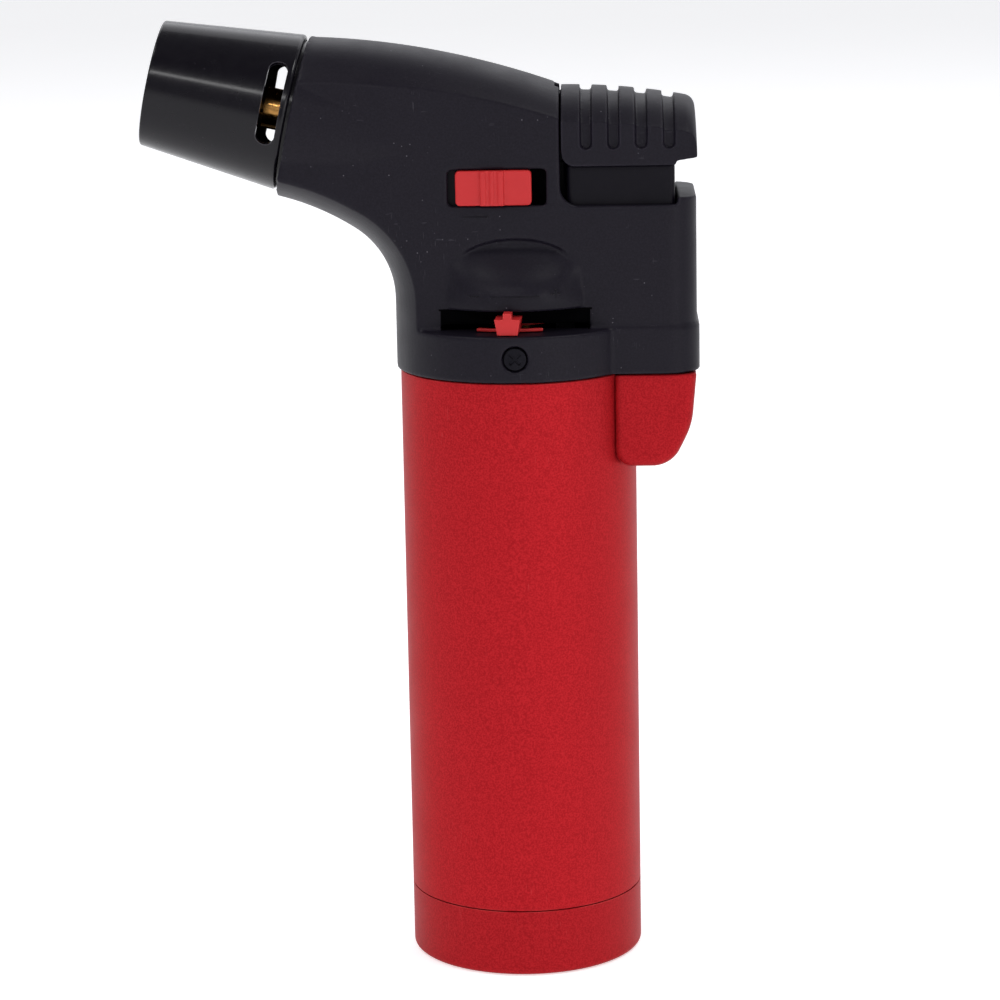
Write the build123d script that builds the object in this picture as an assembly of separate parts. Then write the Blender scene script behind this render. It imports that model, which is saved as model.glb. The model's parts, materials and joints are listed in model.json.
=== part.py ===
from build123d import *
import os
from math import cos, degrees, radians, sin, sqrt

# Butane torch. Millimetres, +Z up along the tank, nozzle towards -X, trigger towards +X.
# The origin is the centre of the base, on the plane that the torch stands on.
# Heights in the head are given from the collar's underside, so the head follows the tank.

# ---- Overall sizes ----
tank_radius = 19.5          # outside of the metal sleeve
seam_height = 11.1          # top of the base cap
collar_bottom = 100.4       # underside of the head
collar_height = 7.5         # depth of the collar band
collar_proud = 0.6          # collar stands this far outside the sleeve
side_half = 12.2            # flat sides of the head
housing_wall = 1.6          # wall of the moulded head

# ---- Clearances ----
running_gap = 0.05          # shaft in its bore, each side
sliding_gap = 0.15          # plastic slide in its guide, each side
seam_gap = 0.2              # shadow line between outer pieces
seat_gap = 0.1              # curved pieces that sit against each other
past = 20.0                 # cutting shapes run this far past what they cut

# ---- Sleeve, base cap and tank ----
sleeve_wall = 0.8
sleeve_chamfer = 0.15
spigot_wall = 1.0
spigot_height = 5.0
base_wall = 1.9
base_floor = 1.8
base_edge_radius = 0.9
fill_recess_radius = 7.5
fill_recess_wall = 1.5
tank_wall = 1.4
tank_floor = 5.4            # underside of the tank, above the table
tank_bottom_thickness = 2.0
tank_top = collar_bottom - 3.4

# ---- Fill valve, in the tank's floor ----
fill_body_radius = 3.4
fill_flange_radius = 5.0
fill_flange_thickness = 0.2
fill_bore_radius = 1.6
fill_bore_length = 3.2
fill_seat_length = 0.8
fill_pin_radius = 1.1
fill_chamber_radius = 2.2
fill_chamber_length = 3.8
fill_roof = 1.0
fill_inlet_radius = 0.8
fill_boss_wall = 2.8
fill_seal_thickness = 0.6
fill_flange_gap = 0.3
fill_stem_step = 0.8
fill_guide_radius = 0.9
fill_spring_radius = 1.55

# ---- Tank lid and outlet valve ----
lid_thickness = 3.0
lid_plug_length = 5.0
lid_neck_wall = 2.2
gasket_radius = 0.8
gasket_land = 1.4
screw_boss_radius = 2.4
valve_radius = 4.0
valve_bore_radius = 1.0
valve_flange_radius = 5.6
valve_flange_height = 2.0
valve_bottom = tank_top - 4.0
valve_top = collar_bottom + 10.5
valve_stem_radius = 1.3
valve_chamber_radius = 2.7
valve_chamber_low = collar_bottom - 0.5
valve_chamber_high = collar_bottom + 3.6
valve_travel = 1.15
filter_radius = 2.4
filter_length = 4.0
stem_foot_gap = 0.3
stem_foot_thickness = 0.9
stem_seal_thickness = 0.6
stem_flange_radius = 3.0
stem_flange_thickness = 0.8
stem_lost_motion = 0.55     # the fork rises this far before it meets the flange
stem_passage_radius = 0.4
barb_radius = 1.0
barb_length = 4.2
spring_wire = 0.2

# ---- Flow adjuster ----
adjuster_hub_radius = 6.4
adjuster_hub_drop = 0.2
adjuster_arm_thickness = 0.5
adjuster_arm_half = 1.6
adjuster_rim_width = 1.0
adjuster_rim_half_angle = 20.5
adjuster_rest_angle = -3.5  # lever's place at rest, from straight out of the side
lever_tip_height = 2.6
lever_tip_width = 4.2
lever_tip_taper = 0.45
lever_tip_root = 1.0
pointer_height = 1.0
pointer_width = 1.4

# ---- Valve lever ----
pivot_x = 8.0
pivot_z = collar_bottom + 12.1
lever_pin_radius = 0.75
lever_thickness = 1.0
lever_half_width = 3.1
lever_front_x = -3.0
lever_slot_end = 2.0
lever_slot_half = 1.7
lever_eye_radius = 1.6
ear_thickness = 1.4
ear_half_width = 1.5

# ---- Head outline ----
box_rear = tank_radius + 10.1
rear_corner_radius = 5.0
step = 0.4                  # collar stands this proud of the rear box
nose_half = side_half - 0.8
shoulder_x = -tank_radius - 1.0
underside_first_radius = 14.0
underside_first_angle = 57.0
underside_second_radius = 42.0
underside_second_angle = 27.0
underside_start = collar_bottom + 11.5

# ---- Barrel and nozzle ----
barrel_tilt = 13.0
joint_x = -tank_radius - 17.0
joint_z = collar_bottom + 42.2
barrel_radius = 13.3
barrel_root_radius = 12.1
barrel_root_length = 22.0
barrel_drop = 0.35
joint_gap = 0.5
shroud_rear_radius = 12.95
shroud_tip_radius = 10.35
shroud_length = 23.3
shroud_wall = 0.8
shroud_rear_round = 0.6
shroud_tip_round = 0.35
slot_start = 1.2
slot_width = 3.1
slot_centre_angle = 85.2
shroud_turn = 5.7           # the cone as it is pressed on, about its own axis
slot_half_angle = 32.0

# ---- Crown: the arched top line is a parabola from the nose ----
nose_x = joint_x - 5.5
crown_peak_x = joint_x - 1.5
crown_peak_z = joint_z + 12.4
crown_fall = 0.0040
crown_radius_nose = nose_half + 1.5
crown_radius_growth = 0.105
crown_half_growth = 0.0372
crown_section_count = 5

# ---- Burner, distances along the barrel from the nozzle joint ----
holder_length = 7.5
holder_gap = 0.5
holder_spigot_length = 1.0
jet_holder_radius = 2.6
jet_holder_rear = -15.0
jet_holder_front = -0.9
hexagon_length = 4.0
jet_radius = 1.1
jet_rear = -8.0
jet_hole_radius = 0.15
tube_radius = 1.4
tube_wall = 0.35
tube_rear = -5.0
tube_front = 9.0
tube_collar_radius = 3.4
tube_collar_length = 3.4
cup_radius = 5.6
cup_wall = 0.6
cup_rear = 7.0
cup_front = 18.0
plate_place = 14.0
plate_thickness = 0.8
plate_hole_radius = 0.45
plate_rings = ((1.7, 6), (3.5, 12))  # ring radius and number of holes
insulator_radius = 1.5
insulator_offset = -7.9
insulator_rear = -9.0
insulator_front = 12.0
electrode_radius = 0.4
electrode_tip_place = 21.0
electrode_tip_reach = 3.6

# ---- Hose and wires ----
hose_radius = 1.9
hose_bore_radius = 1.1
hose_bend_radius = 10.0
wire_radius = 0.8
ground_wire_radius = 0.5

# ---- Trigger ----
trigger_travel = 5.5
stop_gap = 0.9              # left under the cap at the end of its travel
well_front = box_rear - 22.1
well_rear = box_rear - 3.15
well_floor = collar_bottom + 27.5
well_rear_step = 1.15
wall_drop = 10.0            # the well's end walls reach this far under its floor
well_corner_radius = 3.2
neck_front = well_front + 1.1
neck_rear = well_rear - 0.35
neck_bottom = well_floor - 3.9
neck_corner_radius = 0.8
slide_wall = 1.4
guide_rib_half = 3.0
guide_rib_reach = 0.5       # the rib stands this far into the well's front wall
guide_rib_gap = 0.3         # left round the rib in its groove
guide_rib_top_drop = 1.2    # below the cap's crest
finger_half_width = 2.0
finger_half_thickness = 0.8
cap_front = well_front + 0.3
cap_rear = box_rear + 0.1
cap_bottom = well_floor + trigger_travel + stop_gap
cap_lip_bottom = cap_bottom + 1.0
cap_peak_z = cap_bottom + 12.2
cap_fall = 0.0047
cap_crown_radius = side_half + 5.4
cap_front_round = 2.2
cap_rear_lean = 0.2
cap_rear_round = 2.0
cap_wall = 1.6
cap_core_height = 5.2
groove_count = 4
groove_pitch = 4.45
groove_first = 4.0          # centre of the first groove behind the cap's front
groove_width = 1.9
groove_depth = 0.85
groove_bottom = cap_bottom + 3.7

# ---- Pod ----
pod_half = side_half - 0.1
pod_front = box_rear - 13.9
pod_bottom = collar_bottom - 15.6
pod_rear_top = box_rear - 0.2
pod_wall = 1.5
pod_edge_radius = 1.6
pod_corner_radii = (3.2, 5.0, 12.0)
pod_tab_thickness = 1.2
pod_tab_height = 3.8

# ---- Piezo igniter ----
piezo_x = box_rear - 6.2
piezo_half_x = 3.2
piezo_half_y = 5.0
piezo_bottom = pod_bottom + 6.8
piezo_top = collar_bottom + 15.6
piezo_floor = 2.9
piezo_spring_space = 3.5    # length left for the spring at the end of the travel
piezo_spring_wire = 0.25
piezo_spring_radius = 1.7
plunger_radius = 2.2
plunger_top = well_floor - 1.4
lever_rear_x = piezo_x - piezo_half_x - 2.7

# ---- Window, hood, lock and screws ----
window_half = 12.1
window_height = 3.5
window_back = side_half - 0.3  # depth of the wall behind the window
slit_gap = 0.3
hood_drop_in = 3.7          # the hood's bow lies this far inside the collar's
hood_half = 10.8
hood_overlap = 0.5          # the swelling runs this far past its arch before it is cut
hood_rise = 11.3
hood_straight = 5.2
hood_slices = (             # height, share of the full swell in the middle, depth at the edge
    (0.0, 1.0, 0.31),
    (3.0, 0.976, 0.31),
    (5.6, 0.643, 0.31),
    (7.6, 0.167, 0.2),
    (9.2, -0.179, 0.55),
    (hood_rise + 0.5, -0.214, 0.6),
)
lock_slot_right = well_front - 2.2
lock_slot_left = lock_slot_right - 15.9
lock_slot_low = well_floor + 0.2
lock_slot_high = lock_slot_low + 5.95
lock_slot_corner = 0.6
lock_left = lock_slot_left + 1.25
lock_right = lock_slot_right - 2.35
lock_grip_left = lock_left + 4.0
lock_grip_right = lock_left + 7.85
lock_grooves = 2
lock_groove_radius = 0.5
lock_corner = 0.7
lock_proud = 0.5
lock_grip_proud = 1.1
lock_edge_round = 0.3
carrier_thickness = 1.2
carrier_half_height = 4.2
carrier_tongue = 3.2        # clear of the trigger well's front wall
screw_z = collar_bottom + 3.9
screw_head_radius = 1.9
screw_head_height = 0.9
screw_shank_radius = 1.0
screw_length = 6.0
screw_recess_radius = 2.1
screw_recess_depth = 1.1
mark_height = 0.2
mark_width = 0.4
mark_length = 1.6

# ---- Worked out from the sizes above ----
collar_radius = tank_radius + collar_proud
ledge_z = collar_bottom + collar_height
window_top = ledge_z + window_height
sleeve_inner = tank_radius - sleeve_wall
sleeve_low = seam_height + seat_gap
sleeve_top = collar_bottom - seam_gap
tank_outer = sleeve_inner - spigot_wall - 3 * seat_gap
tank_inner = tank_outer - tank_wall
lid_top = tank_top + lid_thickness
lid_neck_top = ledge_z - housing_wall - seam_gap
neck_radius = collar_radius - housing_wall - seam_gap - sliding_gap
neck_half = side_half - housing_wall - sliding_gap
cap_core_half = neck_half - 0.6
cap_core_top = cap_bottom + cap_core_height
adjuster_hub_low = ledge_z - adjuster_hub_drop
adjuster_hub_high = valve_top - 0.5
hood_radius = collar_radius - hood_drop_in
hood_top = window_top + hood_rise
hood_spring = window_top + hood_straight
adjuster_rim_radius = hood_radius - 0.9
lever_tip_radius = collar_radius - 0.9
arm_low = ledge_z + sliding_gap
arm_high = arm_low + adjuster_arm_thickness
fill_flange_low = tank_floor - fill_flange_thickness
fill_seat_low = fill_flange_low + fill_bore_length
fill_chamber_low = fill_seat_low + fill_seat_length
fill_chamber_high = fill_chamber_low + fill_chamber_length
fill_top = fill_chamber_high + fill_roof
lever_low = pivot_z - lever_thickness / 2
lever_high = pivot_z + lever_thickness / 2
stem_flange_low = lever_high + stem_lost_motion
hose_low = stem_flange_low + stem_flange_thickness + valve_travel + seam_gap
finger_x = lever_rear_x - 1.3
finger_bottom = lever_high + trigger_travel - 0.9
piezo_bore_bottom = piezo_bottom + piezo_floor
plunger_low = piezo_bore_bottom + piezo_spring_space + trigger_travel
above = crown_peak_z + past

BASE = (Align.CENTER, Align.CENTER, Align.MIN)
tilt = radians(barrel_tilt)
barrel = Plane(
    origin=(joint_x, 0, joint_z),
    x_dir=(sin(tilt), 0, cos(tilt)),
    z_dir=(-cos(tilt), 0, sin(tilt)),
).location


# ---- Small helpers ----
def disc(radius, low, high, bore=0.0):
    """A round bar about Z from low to high, with a through bore if one is given."""
    solid = Pos(0, 0, low) * Cylinder(radius, high - low, align=BASE)
    if bore:
        solid -= Pos(0, 0, low - 1) * Cylinder(bore, high - low + 2, align=BASE)
    return solid


def block(x_range, y_range, z_range):
    """A box given by its limits along X, Y and Z."""
    size = [high - low for low, high in (x_range, y_range, z_range)]
    centre = [(high + low) / 2 for low, high in (x_range, y_range, z_range)]
    return Pos(*centre) * Box(*size)


def turned(points):
    """A solid of revolution about Z from its half outline of (radius, height) points."""
    outline = Polyline([(r, 0, z) for r, z in points], close=True)
    return revolve(make_face(outline), Axis.Z)


def side_prism(points, half_width):
    """An outline in the XZ plane, carried to both sides by half_width."""
    face = make_face(Polyline([(x, 0, z) for x, z in points], close=True))
    return extrude(face, half_width, dir=(0, 1, 0), both=True)


def along_barrel(distance, up):
    """The point that lies this far in front of the nozzle joint and above the barrel's axis."""
    x = joint_x - distance * cos(tilt) + up * sin(tilt)
    z = joint_z + distance * sin(tilt) + up * cos(tilt)
    return x, z


def tube_along(path, radius, bore=0.0):
    """A round tube along a path."""
    start = Plane(origin=path @ 0, z_dir=path % 0)
    solid = sweep(start * Circle(radius), path=path)
    if bore:
        solid -= sweep(start * Circle(bore), path=path)
    return solid


def coil(radius, wire, low, high, turns):
    """A compression spring about Z, from low to high."""
    height = high - low - 2 * wire
    path = Helix(pitch=height / turns, height=height, radius=radius)
    start = Plane(origin=path @ 0, z_dir=path % 0)
    spring = sweep(start * Circle(wire), path=path, is_frenet=True)
    return Pos(0, 0, low + wire) * spring


# ---- Outer form of the head, drawn in by inset for its hollow ----
def plan_form(inset):
    """The head seen from above: flat sides that close in towards the nozzle."""
    rear = box_rear - inset
    half = side_half - inset
    nose = nose_half - inset
    points = [(nose_x, -nose), (shoulder_x, -half), (rear, -half)]
    points += [(x, -y) for x, y in reversed(points)]
    face = make_face(Polyline(points, close=True))
    corners = face.vertices().filter_by(lambda v: v.X > rear - 0.1)
    face = fillet(corners, rear_corner_radius - inset)
    return Pos(0, 0, ledge_z - 2) * extrude(face, above - ledge_z)


def crown_line(x):
    """Height of the head's top line above the base."""
    return crown_peak_z - crown_fall * (x - crown_peak_x) ** 2


def crown_section(x, top, radius, half):
    """A slice across the head: an arched top on straight sides."""
    drop = radius - sqrt(radius**2 - half**2)
    base = ledge_z - past
    arch = ThreePointArc((x, -half, top - drop), (x, 0, top), (x, half, top - drop))
    sides = Polyline((x, half, top - drop), (x, half, base), (x, -half, base), (x, -half, top - drop))
    return make_face([arch, sides])


def crown_form(inset):
    """The arched top of the head, from the nozzle to the trigger."""
    spacing = (box_rear + 5 - nose_x) / (crown_section_count - 1)
    sections = []
    for index in range(crown_section_count):
        along = index * spacing
        radius = crown_radius_nose + crown_radius_growth * along - inset
        half = nose_half + crown_half_growth * along + 0.3 - inset
        x = nose_x + along
        sections.append(crown_section(x, crown_line(x) - inset, radius, half))
    return loft(sections)


def front_form(inset):
    """The rounded front of the neck, which sweeps forwards under the barrel."""
    radius = collar_radius - inset
    reach = 3 * past
    section = Circle(radius) + Pos(reach / 2, 0) * Rectangle(reach, 2 * radius)
    neck = Pos(0, 0, ledge_z - 2) * extrude(section, underside_start - ledge_z + 2)
    first_axis = Axis((-(collar_radius + underside_first_radius), 0, underside_start), (0, -1, 0))
    first = revolve(Pos(0, 0, underside_start) * section, first_axis, underside_first_angle)
    turn = radians(underside_first_angle)
    arm = collar_radius + underside_first_radius
    centre_x = -arm + arm * cos(turn)
    centre_z = underside_start + arm * sin(turn)
    bend = Plane(
        origin=(centre_x, 0, centre_z),
        x_dir=(cos(turn), 0, sin(turn)),
        z_dir=(-sin(turn), 0, cos(turn)),
    )
    arm = collar_radius + underside_second_radius
    second_axis = Axis((centre_x - arm * cos(turn), 0, centre_z - arm * sin(turn)), (0, -1, 0))
    second = revolve(bend * section, second_axis, underside_second_angle)
    return neck + first + second


def barrel_form(inset, end):
    """The round barrel behind the nozzle, which fades into the flat sides."""
    slope = (barrel_radius - barrel_root_radius) / (barrel_root_length - joint_gap)
    tip = barrel_radius + slope * (end + joint_gap)
    outline = [(0, -barrel_root_length), (barrel_root_radius - inset, -barrel_root_length)]
    outline += [(tip - inset, end), (0, end)]
    return barrel * Pos(-barrel_drop, 0, 0) * turned(outline)


def collar_form(inset, low, high):
    """The round collar over the tank with the box behind it."""
    rear = box_rear + step - inset
    half = side_half + step - inset
    box = Pos(rear / 2, 0) * Rectangle(rear, 2 * half)
    corners = box.vertices().filter_by(lambda v: v.X > rear - 0.1)
    box = fillet(corners, rear_corner_radius + step - inset)
    outline = Circle(collar_radius - inset) + box
    return Pos(0, 0, low) * extrude(outline, high - low)


def head_form(inset, end):
    """The whole head above the ledge."""
    slab = plan_form(inset) & crown_form(inset) & front_form(inset)
    ahead = barrel * block((-2 * past, 2 * past), (-2 * past, 2 * past), (end, 3 * past))
    return slab + barrel_form(inset, end) - ahead


# ---- Head housing ----
def trigger_well():
    """The open-topped cut that the trigger moves in."""
    sides = (-side_half - past, side_half + past)
    front = block((well_front, well_rear), sides, (well_floor, above))
    corner = front.edges().filter_by(Axis.Y).sort_by(Axis.Z)[:2].sort_by(Axis.X)[0]
    front = fillet(corner, well_corner_radius)
    return front + block((well_rear - 1, box_rear + past), sides, (well_floor + well_rear_step, above))


def guide_groove():
    """The groove down the well's front wall that the trigger's rib slides in, open at the top."""
    deep = guide_rib_reach + guide_rib_gap
    half = guide_rib_half + guide_rib_gap
    return block((well_front - deep, well_front + 1), (-half, half), (well_floor - wall_drop - 1, above))


def hood_outline():
    """The arch in the side of the head, seen from the side, carried through the wall."""
    rise = hood_top - hood_spring
    shape = Pos(0, hood_spring) * Ellipse(hood_half, rise)
    shape += Pos(0, (window_top + hood_spring) / 2) * Rectangle(2 * hood_half, hood_spring - window_top)
    shape &= Pos(0, window_top + past) * Rectangle(4 * past, 2 * past)
    plane = Plane(origin=(0, -side_half + 2 * housing_wall, 0), x_dir=(1, 0, 0), z_dir=(0, -1, 0))
    return extrude(plane * shape, past)


def hood_section(height, middle, edge):
    """A level slice of the hood: a bowed front on straight sides."""
    half = hood_half + hood_overlap
    back = -side_half + housing_wall + 1.0
    left, right = (-half, -edge, height), (half, -edge, height)
    bow = ThreePointArc(left, (0, -middle, height), right)
    sides = Polyline(right, (half, back, height), (-half, back, height), left)
    return make_face([bow, sides])


def hood_form():
    """The hood over the adjuster: a scoop under its arch that swells out to a round lip."""
    swell = hood_radius - side_half
    sections = []
    for up, share, edge_depth in hood_slices:
        middle = side_half + share * swell
        sections.append(hood_section(window_top + up, middle, side_half - edge_depth))
    return loft(sections)


def head_marks():
    """Raised marks: a dash under the lock, and minus, bar and plus over the adjuster."""
    deep = (-side_half - mark_height, -side_half + mark_height)
    dash_z = lock_slot_low - 1.9
    marks = [block((-8.2, -4.2), deep, (dash_z, dash_z + mark_width))]
    depth = hood_radius - side_half + hood_slices[0][2]
    bow = ((hood_half + hood_overlap) ** 2 + depth**2) / (2 * depth)
    middle = window_top + 2.6
    skin = disc(bow + mark_height / 2, window_top, middle + 2, bore=bow - 2 * mark_height)
    skin = Pos(0, bow - hood_radius, 0) * skin
    level = (middle - mark_width / 2, middle + mark_width / 2)
    bars = ((-6.4, mark_length), (0.1, 7.8), (6.6, mark_length))
    for x, length in bars:
        marks.append(skin & block((x - length / 2, x + length / 2), (-2 * past, 0), level))
    x = bars[-1][0]
    upright = (middle - mark_length / 2, middle + mark_length / 2)
    marks.append(skin & block((x - mark_width / 2, x + mark_width / 2), (-2 * past, 0), upright))
    return marks


def head_hollow():
    """The space inside the head, less the walls that stand in it round the trigger."""
    below = block((-3 * past, 3 * past), (-2 * past, 2 * past), (0, ledge_z - 0.1))
    hollow = head_form(housing_wall, 2.0) - below
    walls = ((well_front - housing_wall, well_front), (well_rear, box_rear))
    for x_range in walls:
        hollow -= block(x_range, (-2 * past, 2 * past), (well_floor - wall_drop, above))
    hollow += collar_form(housing_wall + seam_gap, collar_bottom - 1, ledge_z - housing_wall)
    half = side_half - housing_wall - 0.6
    hollow += block((-neck_radius + 5, box_rear - 3), (-half, half), (ledge_z - 3, ledge_z + 1))
    inner_hood = disc(hood_radius - housing_wall, ledge_z, window_top + 4.0)
    in_front = (-2 * past, -side_half)
    return hollow + (inner_hood & block((-hood_half + 1, hood_half - 1), in_front, (0, above)))


def side_openings():
    """The adjuster's window, the slit behind it that its arm turns in, and the lock's slot."""
    outside = -collar_radius - 1
    through = (outside, -side_half + 4)
    across = (-window_half, window_half)
    window = block(across, (outside, -window_back), (ledge_z, window_top))
    slit = block(across, through, (ledge_z, arm_high + slit_gap))
    slot = block((lock_slot_left, lock_slot_right), through, (lock_slot_low, lock_slot_high))
    return window + slit + fillet(slot.edges().filter_by(Axis.Y), lock_slot_corner)


def head_housing():
    """The moulded head: collar, neck, barrel and trigger well in one shell, open below."""
    outer = head_form(0, -joint_gap) + collar_form(0, collar_bottom, ledge_z)
    head = outer - hood_outline() + (hood_form() & hood_outline())
    head = head - head_hollow() - trigger_well() - guide_groove() - side_openings()
    for side in (-1, 1):
        recess = Pos(0, side * collar_radius, screw_z) * Rot(90, 0, 0)
        head -= recess * Cylinder(screw_recess_radius, 2 * screw_recess_depth)
        head -= recess * Cylinder(screw_shank_radius + seat_gap, screw_length)
    for mark in head_marks():
        head += mark
    return head


def collar_screws():
    """Two cross-head screws that hold the head to the tank's neck."""
    head = Cylinder(screw_head_radius, screw_head_height, align=BASE)
    head = fillet(head.edges().group_by(Axis.Z)[-1], 0.3)
    for angle in (45, 135):
        head -= Pos(0, 0, 0.5) * Rot(0, 0, angle) * Box(2.4, 0.5, 1.0, align=BASE)
    screw = head + disc(screw_shank_radius, -screw_length, 0)
    screws = []
    for side in (-1, 1):
        place = Pos(0, side * (collar_radius - screw_recess_depth), screw_z) * Rot(-90 * side, 0, 0)
        screws.append(place * screw)
    return Compound(children=screws)


# ---- Sleeve, base and pod ----
def body_sleeve():
    """The painted metal tube round the tank."""
    tube = disc(tank_radius, sleeve_low, sleeve_top, bore=sleeve_inner)
    return chamfer(tube.edges().filter_by(GeomType.CIRCLE), sleeve_chamfer)


def base_cap():
    """The foot: a cup with a spigot inside the sleeve and a recess for the filler."""
    recess_outer = fill_recess_radius + fill_recess_wall
    wall_inner = tank_radius - base_wall
    spigot = sleeve_inner - seat_gap
    outline = [
        (fill_recess_radius, 0),
        (tank_radius, 0),
        (tank_radius, seam_height),
        (spigot, seam_height),
        (spigot, seam_height + spigot_height),
        (wall_inner, seam_height + spigot_height),
        (wall_inner, base_floor),
        (recess_outer, base_floor),
        (recess_outer, tank_floor),
        (fill_recess_radius, tank_floor),
    ]
    cap = turned(outline)
    rim = cap.edges().filter_by(GeomType.CIRCLE).group_by(Axis.Z)[0].sort_by(SortBy.RADIUS)[-1]
    return fillet(rim, base_edge_radius)


def pod_outline():
    """The pod seen from the side: a straight front, a round corner and a long rear curve."""
    path = FilletPolyline(
        (pod_front, sleeve_top),
        (pod_front, pod_bottom),
        (pod_rear_top - 4.2, pod_bottom),
        (pod_rear_top - 0.8, pod_bottom + 6.8),
        (pod_rear_top, sleeve_top),
        radius=pod_corner_radii,
    )
    return make_face([path, Line(path @ 1, path @ 0)])


def rear_pod():
    """The pocket behind the tank that holds the lower end of the igniter."""
    outline = pod_outline()
    shell = extrude(Plane.XZ * outline, pod_half, both=True)
    edges = shell.edges().filter_by(lambda e: abs(e.center().Y) > pod_half - 0.1)
    edges = edges.filter_by(lambda e: e.center().Z < sleeve_top - 0.1)
    shell = fillet(edges, pod_edge_radius)
    hollow = extrude(Plane.XZ * offset(outline, -pod_wall), pod_half - pod_wall, both=True)
    hollow += Pos(0, 0, pod_wall + 1) * hollow
    shell = shell - hollow - disc(tank_radius + seat_gap, pod_bottom - past, above)
    outer = pod_half - pod_wall
    for side in (-1, 1):
        tab = sorted((side * outer, side * (outer - pod_tab_thickness)))
        shell += block((piezo_x - 2.9, piezo_x + 1.0), tab, (sleeve_top - 6, sleeve_top + pod_tab_height))
    seat = block((tank_radius + 1.0, piezo_x + 1.1), (-4, 4), (pod_bottom + pod_wall - 0.1, piezo_bottom))
    return shell + seat


def fuel_tank():
    """The inner tank, with a boss in its floor for the fill valve."""
    boss = fill_body_radius + fill_boss_wall
    boss_top = fill_top - fill_roof
    floor_top = tank_floor + tank_bottom_thickness
    outline = [
        (fill_body_radius, tank_floor),
        (tank_outer, tank_floor),
        (tank_outer, tank_top),
        (tank_inner, tank_top),
        (tank_inner, floor_top),
        (boss, floor_top),
        (boss, boss_top),
        (fill_body_radius, boss_top),
    ]
    return turned(outline)


# ---- Fill valve ----
def fill_valve_body():
    """The filler: a bore for the can's spout, a seat and a spring chamber."""
    pin_bore = fill_pin_radius + running_gap
    outline = [
        (fill_bore_radius, fill_flange_low),
        (fill_flange_radius, fill_flange_low),
        (fill_flange_radius, tank_floor),
        (fill_body_radius, tank_floor),
        (fill_body_radius, fill_top),
        (fill_inlet_radius, fill_top),
        (fill_inlet_radius, fill_chamber_high),
        (fill_chamber_radius, fill_chamber_high),
        (fill_chamber_radius, fill_chamber_low),
        (pin_bore, fill_chamber_low),
        (pin_bore, fill_seat_low),
        (fill_bore_radius, fill_seat_low),
    ]
    return turned(outline)


def fill_valve_stem():
    """The pin that the spout pushes up to let fuel in."""
    flange_low = fill_chamber_low + fill_seal_thickness
    flange_high = flange_low + fill_stem_step
    pin = disc(fill_pin_radius, fill_seat_low + running_gap, flange_low)
    flange = disc(fill_chamber_radius - fill_flange_gap, flange_low, flange_high)
    return pin + flange + disc(fill_guide_radius, flange_high, flange_high + fill_stem_step)


def fill_valve_seal():
    """The rubber washer on the pin, which closes on the seat."""
    top = fill_chamber_low + fill_seal_thickness
    return disc(fill_chamber_radius - fill_flange_gap, fill_chamber_low, top, bore=fill_pin_radius)


def fill_valve_spring():
    """The spring that closes the fill valve."""
    low = fill_chamber_low + fill_seal_thickness + fill_stem_step
    return coil(fill_spring_radius, spring_wire, low, fill_chamber_high, 3)


# ---- Tank lid and outlet valve ----
def lid_profile():
    """Half outline of the lid: a grooved plug, a flange and a neck."""
    plug_low = tank_top - lid_plug_length
    groove_low = plug_low + gasket_land
    groove_high = groove_low + 2.2 * gasket_radius
    groove = tank_inner - 2 * gasket_radius - running_gap
    plug = tank_inner - seat_gap
    flange = sleeve_inner - seat_gap
    neck_inner = neck_radius - lid_neck_wall
    return [
        (valve_radius, plug_low),
        (plug, plug_low),
        (plug, groove_low),
        (groove, groove_low),
        (groove, groove_high),
        (plug, groove_high),
        (plug, tank_top),
        (flange, tank_top),
        (flange, lid_top),
        (neck_radius, lid_top),
        (neck_radius, lid_neck_top),
        (neck_inner, lid_neck_top),
        (neck_inner, lid_top),
        (valve_radius, lid_top),
    ]


def tank_lid():
    """The lid: a plug in the tank, a neck inside the collar and ears for the lever's pin."""
    lid = turned(lid_profile())
    ear_inner = lever_half_width + sliding_gap
    ear_x = (pivot_x - ear_half_width, pivot_x + ear_half_width)
    for side in (-1, 1):
        ear = sorted((side * ear_inner, side * (ear_inner + ear_thickness)))
        lid += block(ear_x, ear, (lid_top - 0.5, pivot_z + lever_eye_radius))
        boss = Pos(0, side * (neck_radius - 2), screw_z) * Rot(90, 0, 0) * Cylinder(screw_boss_radius, 4)
        lid += boss & disc(neck_radius, lid_top - 0.5, lid_neck_top)
    lid -= Pos(pivot_x, 0, pivot_z) * Rot(90, 0, 0) * Cylinder(lever_pin_radius, 2 * past)
    pilot = screw_shank_radius + running_gap
    lid -= Pos(0, 0, screw_z) * Rot(90, 0, 0) * Cylinder(pilot, 3 * past)
    return lid


def lid_gasket():
    """The ring that seals the lid's plug in the tank."""
    height = tank_top - lid_plug_length + gasket_land + 1.1 * gasket_radius
    return Pos(0, 0, height) * Torus(tank_inner - gasket_radius - running_gap / 2, gasket_radius)


def outlet_valve_body():
    """The brass valve body: a passage up from the tank, a chamber and the stem's bore."""
    stem_bore = valve_stem_radius + running_gap
    outline = [
        (valve_bore_radius, valve_bottom),
        (valve_radius, valve_bottom),
        (valve_radius, lid_top),
        (valve_flange_radius, lid_top),
        (valve_flange_radius, lid_top + valve_flange_height),
        (valve_radius, lid_top + valve_flange_height),
        (valve_radius, valve_top),
        (stem_bore, valve_top),
        (stem_bore, valve_chamber_high),
        (valve_chamber_radius, valve_chamber_high),
        (valve_chamber_radius, valve_chamber_low),
        (valve_bore_radius, valve_chamber_low),
    ]
    return turned(outline)


def valve_filter():
    """The sintered filter under the valve."""
    return disc(filter_radius, valve_bottom - filter_length, valve_bottom)


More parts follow.
